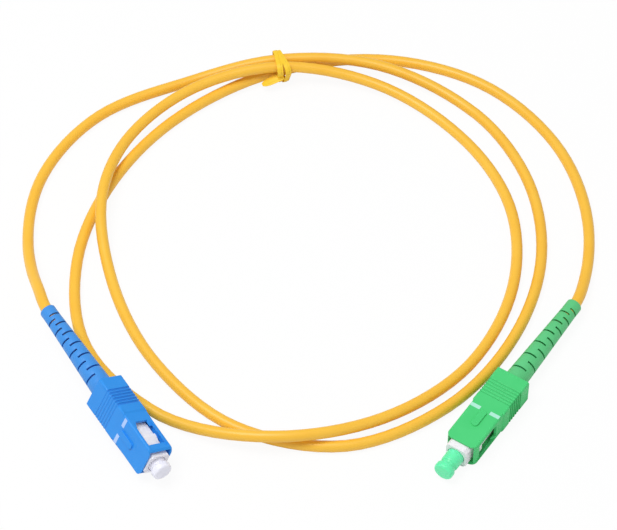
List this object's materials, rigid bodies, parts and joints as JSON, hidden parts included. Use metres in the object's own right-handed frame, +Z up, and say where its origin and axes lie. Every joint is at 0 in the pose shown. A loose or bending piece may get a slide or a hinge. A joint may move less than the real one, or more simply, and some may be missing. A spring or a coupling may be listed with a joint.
{
  "type": "fiber optic patch cord",
  "caption": "Looped fibre optic patch cord with a push-pull SC plug, slotted boot and dust cap at each end, held by a twist tie.",
  "frame": {"origin": "on the table, under the middle of the box round the two plugs with their boots and caps", "axes": "+Z up; +X from the blue plug to the green plug; +Y from the plugs towards the tie"},
  "size_m": [0.1557, 0.1516, 0.0132],
  "materials": {
    "cable_yellow": "satin flexible jacket",
    "tie_yellow": "thin plastic-coated wire strip",
    "plug_blue": "satin moulded plastic",
    "plug_green": "satin moulded plastic",
    "frame_white": "satin moulded plastic",
    "ceramic_white": "polished zirconia",
    "flange_steel": "turned metal",
    "spring_steel": "drawn wire",
    "tube_clear": "smooth",
    "post_metal": "turned and grooved metal",
    "yarn_yellow": "loose fibres",
    "crimp_metal": "crimped",
    "buffer_white": "smooth",
    "boot_blue": "soft satin",
    "boot_green": "soft satin",
    "cap_blue": "soft translucent",
    "cap_green": "soft translucent"
  },
  "bodies": {
    "cord": {"cable_jacket": "cable_yellow", "twist_tie": "tie_yellow", "upc_plug_frame": "frame_white", "upc_spring": "spring_steel", "upc_guide_tube": "tube_clear", "upc_back_post": "post_metal", "upc_aramid_yarn": "yarn_yellow", "upc_crimp_ring": "crimp_metal", "upc_fiber_buffer": "buffer_white", "upc_boot": "boot_blue", "apc_plug_frame": "frame_white", "apc_spring": "spring_steel", "apc_guide_tube": "tube_clear", "apc_back_post": "post_metal", "apc_aramid_yarn": "yarn_yellow", "apc_crimp_ring": "crimp_metal", "apc_fiber_buffer": "buffer_white", "apc_boot": "boot_green"},
    "upc_grip_body": {"upc_grip": "plug_blue"},
    "upc_ferrule_body": {"upc_ferrule": "ceramic_white", "upc_ferrule_flange": "flange_steel"},
    "upc_cap_body": {"upc_dust_cap": "cap_blue"},
    "apc_grip_body": {"apc_grip": "plug_green"},
    "apc_ferrule_body": {"apc_ferrule": "ceramic_white", "apc_ferrule_flange": "flange_steel"},
    "apc_cap_body": {"apc_dust_cap": "cap_green"}
  },
  "joints": [
    {"name": "upc_grip_slide", "type": "slide", "parent": "cord", "child": "upc_grip_body", "axis": [-0.5419, 0.8376, 0.0698], "range_m": [0, 0.002]},
    {"name": "upc_ferrule_push", "type": "slide", "parent": "cord", "child": "upc_ferrule_body", "axis": [-0.5419, 0.8376, 0.0698], "range_m": [0, 0.002], "stiffness_N_per_m": 3000, "deforming": ["upc_spring"]},
    {"name": "upc_cap_slide", "type": "slide", "parent": "cord", "child": "upc_cap_body", "axis": [0.5419, -0.8376, -0.0698], "range_m": [0, 0.012]},
    {"name": "apc_grip_slide", "type": "slide", "parent": "cord", "child": "apc_grip_body", "axis": [0.5592, 0.829, 0], "range_m": [-0.0015, 0.0005]},
    {"name": "apc_ferrule_push", "type": "slide", "parent": "cord", "child": "apc_ferrule_body", "axis": [0.5592, 0.829, 0], "range_m": [0, 0.002], "stiffness_N_per_m": 3000, "deforming": ["apc_spring"]},
    {"name": "apc_cap_slide", "type": "slide", "parent": "cord", "child": "apc_cap_body", "axis": [-0.5592, -0.829, 0], "range_m": [0, 0.012]}
  ]
}
